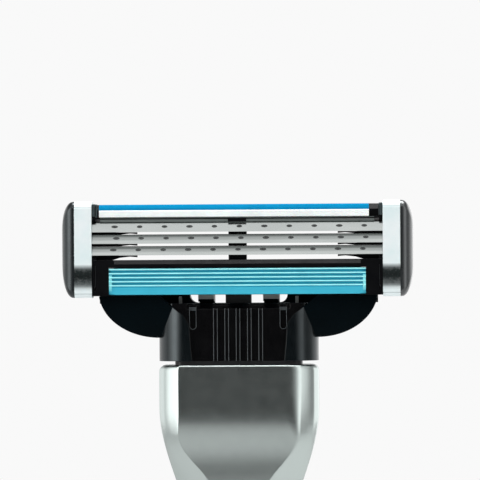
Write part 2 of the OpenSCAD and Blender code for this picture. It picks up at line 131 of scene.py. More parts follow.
def smooth_by_angle(obj, degrees=CRISP_ANGLE):
    """Smooth faces with the edges sharper than the angle kept crisp."""
    bm = bmesh.new()
    bm.from_mesh(obj.data)
    limit = math.radians(degrees)
    for face in bm.faces:
        face.smooth = True
    for edge in bm.edges:
        if len(edge.link_faces) == 2:
            edge.smooth = edge.calc_face_angle(0) < limit
    bm.to_mesh(obj.data)
    bm.free()


def cad_copy(node, name, half_width):
    """A new mesh object with the CAD node's shape, in clean faces and cut off half_width to either side."""
    mesh = nodes[node].data.copy()
    mesh.name = name
    mesh.materials.clear()
    obj = bpy.data.objects.new(name, mesh)
    bpy.context.scene.collection.objects.link(obj)
    bm = bmesh.new()
    bm.from_mesh(mesh)
    bmesh.ops.remove_doubles(bm, verts=bm.verts, dist=CAD_SAME_POINT)
    for side in SIDES:
        geom = bm.verts[:] + bm.edges[:] + bm.faces[:]
        cut = bmesh.ops.bisect_plane(bm, geom=geom, plane_co=(side * half_width * MM, 0, 0),
                                     plane_no=(side, 0, 0), clear_outer=True)
        rim = [e for e in cut["geom_cut"] if isinstance(e, bmesh.types.BMEdge)]
        bmesh.ops.holes_fill(bm, edges=rim)
    bmesh.ops.dissolve_limit(bm, angle_limit=math.radians(FLAT_ANGLE), verts=bm.verts, edges=bm.edges)
    bmesh.ops.recalc_face_normals(bm, faces=bm.faces)
    bm.to_mesh(mesh)
    bm.free()
    return obj


def joined(name, objs):
    """One object from several, which are used up."""
    bm = bmesh.new()
    for o in objs:
        bm.from_mesh(o.data)
        bpy.data.objects.remove(o)
    mesh = bpy.data.meshes.new(name)
    bm.to_mesh(mesh)
    bm.free()
    obj = bpy.data.objects.new(name, mesh)
    bpy.context.scene.collection.objects.link(obj)
    return obj


def place(obj, body, material, slot, *replaced):
    """Gives a piece its finish and body, and hides the CAD nodes it stands for. The slot argument is not
    used.
    """
    obj.data.materials.clear()
    obj.data.materials.append(material)
    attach(obj, body)
    if replaced:
        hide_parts(*replaced)
    return obj


def prism(name, outline, axis, low, high, side=1):
    """A straight prism about the shaving face: axis X takes (y, z) points, Y takes (x, z), Z takes (x, y)."""
    def at(u, v, w):
        x, y, z = {"X": (w, u, v), "Y": (u, w, v), "Z": (u, v, w)}[axis]
        return head_point(side * x, y, z)
    return lofted(name, [[at(u, v, w) for u, v in outline] for w in (low, high)], smooth=False)


def block(name, low, high, side=1):
    """A box about the shaving face, from its lowest and highest corner."""
    return prism(name, rect((low[0], low[1]), (high[0], high[1])), "Z", low[2], high[2], side)


def rect(low, high):
    """The corners of a rectangle in order."""
    return [(low[0], low[1]), (high[0], low[1]), (high[0], high[1]), (low[0], high[1])]


def arc(center, radii, start, end, steps):
    """Points of an elliptical arc, angles in degrees."""
    return [(center[0] + radii[0] * math.cos(math.radians(start + (end - start) * i / steps)),
             center[1] + radii[1] * math.sin(math.radians(start + (end - start) * i / steps)))
            for i in range(steps + 1)]


def rounded_rect(low, high, low_r, high_r, steps):
    """A rectangle with radius low_r on its low-v corners and high_r on its high-v corners."""
    return (arc((high[0] - low_r, low[1] + low_r), (low_r, low_r), -90, 0, steps)
            + arc((high[0] - high_r, high[1] - high_r), (high_r, high_r), 0, 90, steps)
            + arc((low[0] + high_r, high[1] - high_r), (high_r, high_r), 90, 180, steps)
            + arc((low[0] + low_r, low[1] + low_r), (low_r, low_r), 180, 270, steps))


def cut_away(base, others):
    """Takes each of the others out of base, and uses them up."""
    for other in others:
        mod = base.modifiers.new("combine", "BOOLEAN")
        mod.operation, mod.object, mod.solver = "DIFFERENCE", other, "EXACT"
    apply_modifiers(base)
    for other in others:
        bpy.data.objects.remove(other)


# ---------------------------------------------------------------- material helpers
BEVEL_SAMPLES = 6
COAT_ROUGH = 0.1
NOISE_LOW, NOISE_HIGH = 0.3, 0.7        # most of a noise lies between these
SEEN_THROUGH = 0.0003                   # metres that light goes into the soft plastics
MIX_FACTOR, MIX_FIRST, MIX_SECOND, MIX_RESULT = 0, 6, 7, 2  # sockets of a colour mix node


class Finish:
    """A procedural material built up in small steps. Sizes are in metres, but edge is in millimetres."""

    def __init__(self, name, color, rough, metallic=0.0, coat=0.0, specular=0.5, subsurface=0.0, edge=0.0):
        self.mat = bpy.data.materials.new(name)
        self.mat.use_nodes = True
        self.tree = self.mat.node_tree
        self.bsdf = self.tree.nodes["Principled BSDF"]
        self.set("Base Color", (*color, 1))
        self.set("Roughness", rough)
        self.set("Metallic", metallic)
        self.set("Coat Weight", coat)
        self.set("Coat Roughness", COAT_ROUGH)
        self.set("Specular IOR Level", specular)
        self.set("Subsurface Weight", subsurface)
        self.coords = self.node("ShaderNodeTexCoord").outputs["Object"]
        self.normal = None
        if edge:
            soft = self.node("ShaderNodeBevel", samples=BEVEL_SAMPLES)
            soft.inputs["Radius"].default_value = edge * MM
            self.normal = soft.outputs["Normal"]
            self.link(self.normal, self.bsdf.inputs["Normal"])

    def node(self, kind, **values):
        """A new shader node with its settings."""
        made = self.tree.nodes.new(kind)
        for key, value in values.items():
            setattr(made, key, value)
        return made

    def set(self, socket, value):
        """Gives one of the surface's inputs a plain value."""
        self.bsdf.inputs[socket].default_value = value

    def link(self, a, b):
        """Joins an output to an input."""
        self.tree.links.new(a, b)

    def noise(self, size, detail, stretch=(1, 1, 1), rough=0.55):
        """Noise whose features are about size metres wide, stretched along the axes."""
        scale = self.node("ShaderNodeMapping")
        scale.inputs["Scale"].default_value = [1 / (size * s) for s in stretch]
        self.link(self.coords, scale.inputs["Vector"])
        tex = self.node("ShaderNodeTexNoise")
        tex.inputs["Scale"].default_value = 1.0
        tex.inputs["Detail"].default_value = detail
        tex.inputs["Roughness"].default_value = rough
        self.link(scale.outputs["Vector"], tex.inputs["Vector"])
        return tex.outputs["Fac"]

    def ramp(self, fac, stops):
        """A colour ramp, stops as (place, colour)."""
        ramp = self.node("ShaderNodeValToRGB")
        fill_ramp(ramp.color_ramp.elements, stops)
        self.link(fac, ramp.inputs["Fac"])
        return ramp.outputs["Color"]

    def clouds(self, size, detail, first, second, stretch=(1, 1, 1)):
        """Soft clouds between two colours."""
        return self.ramp(self.noise(size, detail, stretch), [(NOISE_LOW, first), (NOISE_HIGH, second)])

    def spread(self, fac, low, high, from_low=NOISE_LOW, from_high=NOISE_HIGH):
        """Maps a value to the range low to high."""
        rng = self.node("ShaderNodeMapRange")
        limits = {"From Min": from_low, "From Max": from_high, "To Min": low, "To Max": high}
        for key, value in limits.items():
            rng.inputs[key].default_value = value
        self.link(fac, rng.inputs["Value"])
        return rng.outputs["Result"]

    def mix(self, fac, a, b):
        """Mixes two colours, each a socket or a triple."""
        mixer = self.node("ShaderNodeMix", data_type="RGBA", blend_type="MIX")
        for place_at, value in ((MIX_FACTOR, fac), (MIX_FIRST, a), (MIX_SECOND, b)):
            socket = mixer.inputs[place_at]
            if isinstance(value, bpy.types.NodeSocket):
                self.link(value, socket)
            elif isinstance(value, (int, float)):
                socket.default_value = value
            else:
                socket.default_value = (*value, 1)
        return mixer.outputs[MIX_RESULT]

    def axis(self, letter):
        """The X, Y or Z of the surface point."""
        split = self.node("ShaderNodeSeparateXYZ")
        self.link(self.coords, split.inputs["Vector"])
        return split.outputs[letter]

    def color(self, socket):
        """Takes the base colour from a socket."""
        self.link(socket, self.bsdf.inputs["Base Color"])

    def rough(self, socket):
        """Takes the roughness from a socket."""
        self.link(socket, self.bsdf.inputs["Roughness"])

    def bump(self, height, depth, strength=1.0):
        """Adds relief of the given depth in metres."""
        bump = self.node("ShaderNodeBump")
        bump.inputs["Distance"].default_value = depth
        bump.inputs["Strength"].default_value = strength
        self.link(height, bump.inputs["Height"])
        if self.normal is not None:
            self.link(self.normal, bump.inputs["Normal"])
        self.normal = bump.outputs["Normal"]
        self.link(self.normal, self.bsdf.inputs["Normal"])
        return self


def fill_ramp(points, stops):
    """Sets the points of a colour ramp, stops as (place, colour)."""
    while len(points) < len(stops):
        points.new(0.5)
    for point, (place_at, color) in zip(points, stops):
        point.position = place_at
        point.color = (*color, 1)


def tint(color, factor):
    """A colour made darker or brighter."""
    return tuple(c * factor for c in color)


def moulded(name, color, rough, coat=0.0, specular=0.5, depth=0.000002, edge=0.06):
    """Moulded plastic: faint cloudy colour, grain in the surface and patches that are a little duller."""
    f = Finish(name, color, rough, coat=coat, specular=specular, edge=edge)
    f.color(f.clouds(0.004, 3, tint(color, 0.85), tint(color, 1.2)))
    f.rough(f.spread(f.noise(0.0015, 4), rough * 0.85, rough * 1.2))
    return f.bump(f.noise(0.00012, 2), depth)


def metal(name, color, rough, stretch=(1, 1, 1)):
    """Metal with a directional grain and soft variation in its polish."""
    f = Finish(name, color, rough, metallic=1.0, edge=0.05)
    streak = f.noise(0.00008, 3, stretch)
    f.color(f.ramp(f.noise(0.006, 4), [(0.25, tint(color, 0.93)), (0.75, tint(color, 1.05))]))
    f.rough(f.spread(streak, rough * 0.8, rough * 1.25))
    return f.bump(streak, 0.000001)


# ---------------------------------------------------------------- materials
COOL = (0.86, 0.97, 1.0, 1)             # a slightly cool cast
RIDGE_TIP, RIDGE_FOOT = FACE_Y + 0.04, FACE_Y + 0.5
# colour of the guard pad from the tips of its ridges down into the grooves: painted light on the pale tips,
# painted shade deep in the grooves
FIN_TIP_LIGHT_AND_GROOVE_SHADE = [(0.0, (0.46, 0.99, 0.99)), (0.12, (0.36, 0.98, 0.99)), (0.34, (0.06, 0.52, 0.7)),
              (0.6, (0.05, 0.54, 0.74)), (1.0, (0.006, 0.28, 0.36))]
PATCH_LOW, PATCH_HIGH = -4.95, -1.75    # ends of the stippled patch on the clips, which carries a painted dark reflection
# how dark the painted reflection on the patch is, from its lower to its upper end
PATCH_PAINTED_REFLECTION = [(0.0, 0.0), (0.1, 0.28), (0.17, 0.7), (0.25, 0.88), (0.42, 0.97), (0.55, 1.03),
               (0.74, 0.99), (0.83, 0.9), (0.91, 0.55), (1.0, 0.0)]
# heights of the two bends in the clips, drawn as darker lines of painted shade, and half their width
BEND_SHADE_LINES, BEND_HALF = (5.12, -5.28), 0.035
# how dark the painted shade in a band on the blades is, from its lower to its upper end
BAND_PAINTED_SHADE = [(0.0, 0.0), (0.25, 0.35), (0.5, 0.45), (0.72, 1.0), (0.98, 0.9), (1.0, 0.0)]


def greys(stops):
    """Ramp stops in grey from stops of one value each."""
    return [(at, (value, value, value)) for at, value in stops]


def fin_finish():
    """Cyan elastomer that lets a little light in, with painted light on the ridge tips and painted shade down
    in the grooves.
    """
    f = Finish("fin_elastomer", (0.09, 0.5, 0.62), 0.42, subsurface=0.1)
    f.set("Subsurface Radius", (0.2, 0.9, 1.0))
    f.set("Subsurface Scale", SEEN_THROUGH)
    depth = f.spread(f.axis("Y"), 0, 1, RIDGE_TIP * MM, RIDGE_FOOT * MM)
    # painted light and shade by depth: paler at the ridge tips, darker down in the grooves
    base = f.ramp(depth, FIN_TIP_LIGHT_AND_GROOVE_SHADE)
    f.color(f.mix(f.spread(f.noise(0.002, 4), 0, 0.2), base, (0.03, 0.4, 0.56)))
    f.set("Specular IOR Level", 0.3)
    f.rough(f.spread(f.noise(0.0008, 3), 0.36, 0.5))
    return f.bump(f.noise(0.0001, 3), 0.000002).mat


def clip_finish():
    """Bent aluminium sheet, satin with an upright grain, a stippled patch darkened by a painted reflection,
    and two fine lines of painted shade at the bends.
    """
    f = Finish("clip_sheet", (0.86, 0.88, 0.89), 0.45, metallic=0.2, specular=0.25, edge=0.05)
    grain = f.noise(0.00006, 3, (1, 1, 12))
    z = f.axis("Z")
    along = f.spread(z, 0, 1, (HEAD_Z + PATCH_LOW) * MM, (HEAD_Z + PATCH_HIGH) * MM)
    # painted reflection: how dark the patch is along its height
    rolled = f.ramp(along, greys(PATCH_PAINTED_REFLECTION))
    speckle = f.noise(0.00022, 4, rough=0.7)
    patch = f.node("ShaderNodeMath", operation="MULTIPLY")
    f.link(rolled, patch.inputs[0])
    f.link(f.spread(speckle, 0.93, 1.06), patch.inputs[1])
    dark = f.spread(patch.outputs[0], 0, 1, 0, 1)
    plain = f.clouds(0.0035, 4, (0.8, 0.93, 0.94), (0.92, 0.98, 0.99))
    # the patch's dark speckled colour is a painted reflection
    shade = f.mix(dark, plain, f.ramp(speckle, [(0.4, (0.0, 0.001, 0.001)), (0.65, (0.012, 0.02, 0.02))]))
    # painted shade along each bend
    for line in BEND_SHADE_LINES:
        off = f.node("ShaderNodeMath", operation="COMPARE")
        f.link(z, off.inputs[0])
        off.inputs[1].default_value = (HEAD_Z + line) * MM
        off.inputs[2].default_value = BEND_HALF * MM
        shade = f.mix(off.outputs[0], shade, (0.45, 0.52, 0.53))
    f.color(shade)
    f.rough(f.spread(grain, 0.4, 0.55))
    f.bump(speckle, 0.000006, 0.2)
    return f.bump(grain, 0.0000012).mat


def blade_finish(name, bands=()):
    """Ground steel: fine lines along the strip. Each band, as its lower and upper height, is darkened with
    painted shade.
    """
    f = Finish(name, (0.7, 0.7, 0.69), 0.2, metallic=1.0)
    lines = f.noise(0.00007, 3, (8, 8, 1))
    shade = f.clouds(0.003, 4, (0.5, 0.53, 0.52), (0.57, 0.6, 0.59), (3, 1, 1))
    z = f.axis("Z")
    for low, high in bands:
        along = f.spread(z, 0, 1, (HEAD_Z + low) * MM, (HEAD_Z + high) * MM)
        # painted shade across the band
        band_shade = f.ramp(along, greys(BAND_PAINTED_SHADE))
        shade = f.mix(band_shade, shade, (0.14, 0.155, 0.15))
    f.color(shade)
    f.rough(f.spread(lines, 0.16, 0.24))
    return f.bump(lines, 0.0000008).mat


def handle_finish():
    """Polished metal: faint waviness in the shine and a fine satin haze."""
    f = Finish("handle_polish", (0.6, 0.62, 0.61), 0.2, metallic=1.0)
    f.color(f.clouds(0.012, 3, (0.54, 0.605, 0.585), (0.575, 0.635, 0.62)))
    f.rough(f.spread(f.noise(0.0012, 4), 0.19, 0.22))
    return f.bump(f.noise(0.006, 2), 0.00001, 0.2).mat


def cool(finish):
    """Gives the shine a slightly cool cast."""
    finish.set("Specular Tint", COOL)
    return finish.mat


def end_cap_finish(name, coat, ior):
    """Glossy lacquer over blue-black plastic."""
    f = moulded(name, (0.004, 0.0055, 0.0065), 0.28, coat=coat, depth=0.000001, edge=0)
    f.set("Coat IOR", ior)
    f.set("Coat Roughness", 0.26)
    return cool(f)


def rubber_finish():
    """Dark rubber with a fine grain."""
    f = Finish("grip_rubber", (0.018, 0.019, 0.021), 0.62, specular=0.4)
    f.color(f.clouds(0.005, 4, (0.014, 0.015, 0.017), (0.03, 0.031, 0.033)))
    f.rough(f.spread(f.noise(0.0009, 3), 0.52, 0.72))
    return f.bump(f.noise(0.00018, 3), 0.00002).mat


def waxy(name, color, specular):
    """Soft waxy plastic that lets a little light in."""
    f = Finish(name, color, 0.5, subsurface=0.1, specular=specular)
    f.set("Subsurface Scale", SEEN_THROUGH)
    f.color(f.clouds(0.0025, 4, tint(color, 0.9), tint(color, 1.06)))
    f.rough(f.spread(f.noise(0.0007, 3), 0.42, 0.6))
    return f.bump(f.noise(0.00025, 3), 0.000008).mat


# The right cap's stronger coat copies the brighter light on that side of the photo.
GLOSS = {-1: end_cap_finish("gloss_black_left", 0.25, 1.5),
         1: end_cap_finish("gloss_black_right", 1.0, 1.8)}
FRAME = moulded("frame_black", (0.0025, 0.0027, 0.0035), 0.32, specular=0.12).mat
YOKE = cool(moulded("yoke_gloss", (0.001, 0.0025, 0.0035), 0.2, specular=0.56, depth=0.0))
PANEL = moulded("panel_satin", (0.001, 0.001, 0.0015), 0.2, specular=0.35, depth=0.0, edge=0.1).mat
# pale satin for the lips beside the pad, and for the painted highlights round the slots and along the ribs
LIP = cool(moulded("lip_and_highlight_satin", (0.05, 0.056, 0.06), 0.3, specular=0.9, depth=0.0))
WING = cool(moulded("wing_satin", (0.0008, 0.0028, 0.004), 0.3, specular=0.03, depth=0.000001))
TIP = moulded("tip_grey", (0.3, 0.32, 0.31), 0.4).mat
LEDGE = moulded("ledge_grey", (0.118, 0.142, 0.135), 0.4).mat
STOP = moulded("stop_satin", (0.045, 0.062, 0.066), 0.4, specular=0.3).mat
NOSE = moulded("nose_satin", (0.009, 0.01, 0.011), 0.4, specular=0.3).mat
BUTTON = moulded("button_satin", (0.016, 0.017, 0.019), 0.42).mat
EJECTOR = moulded("ejector_plain", (0.04, 0.04, 0.044), 0.45).mat
CAP = moulded("cap_satin", (0.016, 0.017, 0.019), 0.36).mat
FINS = fin_finish()
CLIP = clip_finish()
BLADE = blade_finish("blade_ground")
# the two lower blades, with a band of painted shade near the top of each, under the blade above
LOW_BLADE = blade_finish("blade_band_shaded", ((-0.4, 0.36), (0.99, 1.82)))
SUPPORT = metal("support_rolled", (0.4, 0.4, 0.4), 0.36, (8, 1, 1)).mat
WELD = metal("weld_scorch", (0.11, 0.115, 0.115), 0.4).mat
SPRING = metal("spring_wire", (0.55, 0.55, 0.55), 0.3).mat
HANDLE = handle_finish()
COVER = metal("cover_satin", (0.42, 0.43, 0.44), 0.3, (1, 1, 14)).mat
RUBBER = rubber_finish()
WHITE = waxy("strip_wax", (0.92, 0.985, 0.975), 0.3)
BLUE = waxy("stripe_wax", (0.004, 0.21, 0.42), 0.0)


# ---------------------------------------------------------------- camera, light and floor
LENS, SENSOR = 400, 36
PICTURE_WIDTH = 57.3                    # millimetres across the picture at the shaving face
AIM = (0.36, 0, 1.07)                   # what the camera looks at, about the middle of the face
YAW, ROLL = 2, 0.35                     # degrees
FLOOR_REACH = 600
FLOOR_DARK, FLOOR_PALE = 0.61, 0.63
LAMP_SIZE, LAMP_POWER, LAMP_PLACE = (0.5, 0.4), 5, (0.14, 0.02, 0.62)   # metres and watts
# Brightness of the studio walls round the horizon: degrees from -Y towards +X, then radiance.
# The way the shaving face looks is dark, with a tall strip light on either side of it.
WALLS = [(-180, 0.8), (-120, 1.2), (-98, 1.15), (-84, 0.8), (-70, 1.9), (-54, 3.8), (-44, 4.2), (-36, 2.1),
         (-25, 0.4), (-15, 0.05), (17, 0.05), (27, 0.4), (36, 1.2), (43, 1.6), (50, 1.6), (58, 0.5),
         (70, 0.3), (92, 0.5), (104, 1.1), (122, 1.4), (150, 1.6), (180, 0.8)]
WALL_TOP, SKY_FROM = 14, 26             # degrees up, between which the walls give way to the sky
RAMP_TOP = 12.0                         # radiance that a ramp value of 1 stands for
SKY = 0.3                               # radiance overhead
FRONT_SKY = 1.0                         # radiance above the dark wall
OVERHEAD_Y, AHEAD_Y = -0.2, -0.55       # Y of the directions where the one sky and the other are full
BACKDROP = 0.947                        # what the camera sees behind the razor


def studio():
    """The camera, the floor, the walls and one lamp."""
    scene = bpy.context.scene
    scene.view_settings.view_transform = "Standard"
    cam = bpy.data.cameras.new("camera")
    cam.lens, cam.sensor_width = LENS, SENSOR
    distance = PICTURE_WIDTH * MM * cam.lens / cam.sensor_width
    cam.clip_start, cam.clip_end = 0.01, 10
    rig = bpy.data.objects.new("camera", cam)
    scene.collection.objects.link(rig)
    yaw, roll = math.radians(YAW), math.radians(ROLL)
    rig.location = head_point(*AIM) * MM + distance * Vector((math.sin(yaw), -math.cos(yaw), 0))
    rig.rotation_euler = (math.radians(90), roll, yaw)
    scene.camera = rig

    corners = rect((-FLOOR_REACH, -FLOOR_REACH), (FLOOR_REACH, FLOOR_REACH))
    floor = mesh_object("floor", [(x, y, FLOOR_Z) for x, y in corners], [(0, 1, 2, 3)], smooth=False)
    f = Finish("floor_paper", (0.62, 0.62, 0.62), 0.8, specular=0.2)
    f.color(f.clouds(0.05, 3, (FLOOR_DARK, FLOOR_DARK, FLOOR_DARK), (FLOOR_PALE, FLOOR_PALE, FLOOR_PALE)))
    floor.data.materials.append(f.mat)

    surround(scene)
    light = bpy.data.lights.new("ceiling", "AREA")
    light.shape, light.energy = "RECTANGLE", LAMP_POWER
    light.size, light.size_y = LAMP_SIZE
    lamp = bpy.data.objects.new("ceiling", light)
    lamp.location = LAMP_PLACE
    scene.collection.objects.link(lamp)


def surround(scene):
    """A pale backdrop for the camera, and studio walls and sky for everything that reflects them."""
    world = bpy.data.worlds.new("studio")
    scene.world = world
    world.use_nodes = True
    tree = world.node_tree
    tree.nodes.clear()
    node, link = tree.nodes.new, tree.links.new

    def math_node(operation, a, b):
        """The result of a sum on two sockets or numbers."""
        made = node("ShaderNodeMath")
        made.operation = operation
        for socket, value in zip(made.inputs, (a, b)):
            if isinstance(value, bpy.types.NodeSocket):
                link(value, socket)
            else:
                socket.default_value = value
        return made.outputs[0]

    def eased(value, limits):
        """A value mapped with soft ends."""
        made = node("ShaderNodeMapRange")
        made.interpolation_type = "SMOOTHSTEP"
        for key, limit in limits.items():
            made.inputs[key].default_value = limit
        link(value, made.inputs["Value"])
        return made.outputs["Result"]

    split = node("ShaderNodeSeparateXYZ")
    link(node("ShaderNodeTexCoord").outputs["Generated"], split.inputs[0])
    turn = math_node("ARCTAN2", split.outputs["X"], math_node("MULTIPLY", split.outputs["Y"], -1))
    walls = node("ShaderNodeValToRGB")
    fill_ramp(walls.color_ramp.elements,
              greys([(angle / 360 + 0.5, value / RAMP_TOP) for angle, value in WALLS]))
    link(math_node("ADD", math_node("DIVIDE", turn, 2 * math.pi), 0.5), walls.inputs["Fac"])
    blend = node("ShaderNodeMix")
    blend.data_type = "RGBA"
    link(eased(split.outputs["Z"], {"From Min": math.sin(math.radians(WALL_TOP)),
                                    "From Max": math.sin(math.radians(SKY_FROM))}), blend.inputs[MIX_FACTOR])
    link(walls.outputs["Color"], blend.inputs[MIX_FIRST])
    link(eased(split.outputs["Y"], {"From Min": OVERHEAD_Y, "From Max": AHEAD_Y, "To Min": SKY / RAMP_TOP,
                                    "To Max": FRONT_SKY / RAMP_TOP}), blend.inputs[MIX_SECOND])
    around = node("ShaderNodeBackground")
    around.inputs["Strength"].default_value = RAMP_TOP
    link(blend.outputs[MIX_RESULT], around.inputs["Color"])
    pale = node("ShaderNodeBackground")
    pale.inputs["Color"].default_value = (BACKDROP, BACKDROP, BACKDROP, 1)
    mix = node("ShaderNodeMixShader")
    link(node("ShaderNodeLightPath").outputs["Is Camera Ray"], mix.inputs["Fac"])
    link(around.outputs["Background"], mix.inputs[1])
    link(pale.outputs["Background"], mix.inputs[2])
    link(mix.outputs["Shader"], node("ShaderNodeOutputWorld").inputs["Surface"])


# ---------------------------------------------------------------- handle
NECK_HALF, GRIP_HALF = 5.2, 6.8         # half widths
FRONT_Y = FACE_Y + 1.3                  # front and rear of the handle at its top
REAR_Y = box_mm("rear_cover")[1].y
RING_STEP = 0.8                         # height from one ring of the skin to the next
TOP_RINGS = 12                          # steps in the rounding of the top
CORNER_STEPS = 8
# how far the rounding of each corner of the section reaches back and on, by corner number
CORNER_REACH = {0: (0.12, 0.12), 1: (2.0, 1.0), 2: (0.9, 0.3), 3: (0.2, 0.3), 8: (0.3, 0.2), 9: (0.3, 0.9)}
PLAIN_REACH = (0.55, 0.55)              # the same, for the other corners
SOFT_CORNER, CRISP_REACH = 1, 0.15      # the corner that is soft at the head, and its reach further down
REACH_LIMIT = 0.46                      # share of an edge that one rounding may take
RIM, SHOULDER = 0.22, 0.8               # height of the top's rounding at front and rear, and at the sides
GAP = 0.08                              # room round the pieces let into the handle
POCKET_HALF, POCKET_FLOOR = 6.42, 3.4   # the nose's pocket: half width, and floor above the nose's foot
COVER_CORNER, COVER_STEPS = 1.5, 6
PAST_TOP, PAST_REAR = 1, 3              # how far the cuts run out of the handle


def smooth(t):
    """Runs from 0 to 1 with level ends."""
    u = min(max(t, 0.0), 1.0)
    return u * u * (3 - 2 * u)


def ease(t):
    """Like smooth, with gentler ends."""
    t = min(max(t, 0.0), 1.0)
    return t ** 3 * (t * (6 * t - 15) + 10)


def down(z, start, *changes):
    """A measure at height z: start, plus each change, as its amount, where it begins and its length."""
    value = start
    for amount, begin, length in changes:
        value += amount * smooth((begin - z) / length)
    return value


def half_at(z):
    """Half the width of the handle."""
    return down(z, HEAD_HALF, (NECK_HALF - HEAD_HALF, TOP_Z - 5.1, 19), (GRIP_HALF - NECK_HALF, 40, 28),
                (-1.3, -18, 40))


def front_at(z):
    """Y of the handle's front."""
    return down(z, FRONT_Y + 0.54 * ease((TOP_Z - 4.9 - z) / 8), (1.51, TOP_Z - 10.6, 20.4), (-2.1, 42, 34),
                (0.9, -20, 38))


def rear_at(z):
    """Y of the handle's rear."""
    return down(z, REAR_Y, (2.3, 40, 34), (-2.4, -12, 46))


def front_panel_at(z):
    """Half the width of the flat panel at the front."""
    return down(z, 8, (-4.3, TOP_Z - 8.6, 6.6), (-1.3, TOP_Z - 13.4, 6.5), (2.2, 42, 22), (-0.9, -18, 40))


def rear_panel_at(z):
    """Half the width of the flat panel at the rear."""
    return down(z, half_at(z) - 1, (-1.2, 42, 22))


def front_bevel_at(z):
    """Depth of the slope beside the front panel."""
    return down(z, 1.3, (0.7, TOP_Z - 6, 12), (0.6, 40, 22))


def rear_bevel_at(z):
    """Depth of the slope beside the rear panel."""
    return down(z, 1.2, (1.2, 42, 22))


def handle_ring(z, inset=0.0, side_inset=0.0):
    """The handle's section at height z as a ring of points."""
    half, front, rear = half_at(z) - side_inset, front_at(z) + inset, rear_at(z) - inset
    head = 1 - smooth((TOP_Z - 5.9 - z) / 17)
    soft = 1 - smooth((TOP_Z - 1.5 - z) / 11)
    panel = front_panel_at(z) - 0.76 * head - 0.3 * side_inset
    rear_panel = rear_panel_at(z) - inset
    bevel, rear_bevel = front_bevel_at(z) + 1.1 * head, rear_bevel_at(z)
    mid = ((panel + half) / 2 + 0.1 + 0.45 * head, front + bevel / 2 - 0.13 + 0.13 * head)
    outline = ((-panel, front), (panel - 0.5 * soft, front), mid, (half, front + bevel),
               (half, rear - rear_bevel), (rear_panel, rear), (-rear_panel, rear), (-half, rear - rear_bevel),
               (-half, front + bevel), (-mid[0], mid[1]))
    corners = [Vector(point) for point in outline]
    ring = []
    for k, corner in enumerate(corners):
        last, following = corners[k - 1], corners[(k + 1) % len(corners)]
        back, on = CORNER_REACH.get(k, PLAIN_REACH)
        if k == SOFT_CORNER:
            back = CRISP_REACH + (back - CRISP_REACH) * soft
            on = CRISP_REACH + (on - CRISP_REACH) * soft
        start = corner + min(back, REACH_LIMIT * (last - corner).length) * (last - corner).normalized()
        end = corner + min(on, REACH_LIMIT * (following - corner).length) * (following - corner).normalized()
        for i in range(CORNER_STEPS + 1):
            t = i / CORNER_STEPS
            point = (1 - t) ** 2 * start + 2 * t * (1 - t) * corner + t * t * end
            ring.append((point.x, point.y, z))
    return ring


def handle():
    """The handle's metal skin, with room for the rear cover, the nose and the ejector."""
    count = int((TOP_Z - SHOULDER - BASE_Z) / RING_STEP)
    rings = [handle_ring(BASE_Z + i * RING_STEP) for i in range(count)]
    for i in range(TOP_RINGS + 1):
        z = TOP_Z - SHOULDER * (1 - math.sin(math.radians(90 * i / TOP_RINGS)))
        insets = []
        for height in (RIM, SHOULDER):
            up = max(1 - (TOP_Z - z) / height, 0.0)
            insets.append(height * (1 - math.sqrt(1 - up ** 2)))
        rings.append(handle_ring(z, *insets))
    obj = lofted("handle_skin", rings)
    nose_lo = box_mm("nose")[0]
    cover_lo, cover_hi = box_mm("rear_cover")
    ejector_lo, ejector_hi = box_mm("ejector")

    def box_cut(low, high):
        """A box between two corners given in the whole part's millimetres."""
        low, high = ((x, y - FACE_Y, z - HEAD_Z) for x, y, z in (low, high))
        return block("cut", low, high)
    seat = rounded_rect((cover_lo.x - GAP, cover_lo.z - GAP - HEAD_Z),
                        (cover_hi.x + GAP, cover_hi.z + GAP - HEAD_Z),
                        COVER_CORNER + GAP, COVER_CORNER + GAP, COVER_STEPS)
    cuts = [prism("seat", seat, "Y", cover_lo.y - GAP - FACE_Y, cover_hi.y + PAST_REAR - FACE_Y),
            box_cut((-POCKET_HALF, nose_lo.y - GAP, nose_lo.z + POCKET_FLOOR),
                    (POCKET_HALF, ejector_lo.y - GAP, TOP_Z + PAST_TOP)),
            box_cut((ejector_lo.x - GAP, ejector_lo.y - GAP, ejector_lo.z - GAP),
                    (ejector_hi.x + GAP, cover_lo.y, TOP_Z + PAST_TOP))]
    cut_away(obj, cuts)
    smooth_by_angle(obj)
    place(obj, "handle", HANDLE, "handle_metal", "handle_body")


# ---------------------------------------------------------------- cartridge
CAP_RINGS, CAP_CORNER, CAP_STEPS, CAP_CRISP = 24, 0.9, 10, 50
# how each edge of an end cap comes in: over the last this much of the width, by this much
CAP_FRONT, CAP_FOOT, CAP_BACK, CAP_TOP = (1.4, 1.5), (1.35, 3.6), (0.9, 0.9), (1.35, 3.0)
RIDGES, RIDGE_PITCH = 5, 0.4825
RIDGE_HALF, RIDGE_RADII, RIDGE_STEPS = 0.13, (0.09, 0.085), 8
TOP_BAND = 0.16                         # from the middle of the top ridge to the top of the pad
END_IN, END_OUT = 0.36, 0.005           # where the closing at either end of the pad begins and stops
PAD_CRISP = 35
LEDGE_HALF = 16.4
LEDGE_OUTLINE = [(0.6, 3.28), (0.55, 3.33), (0.45, 3.6), (0.22, 3.81), (0.8, 3.81), (0.8, 3.28)]
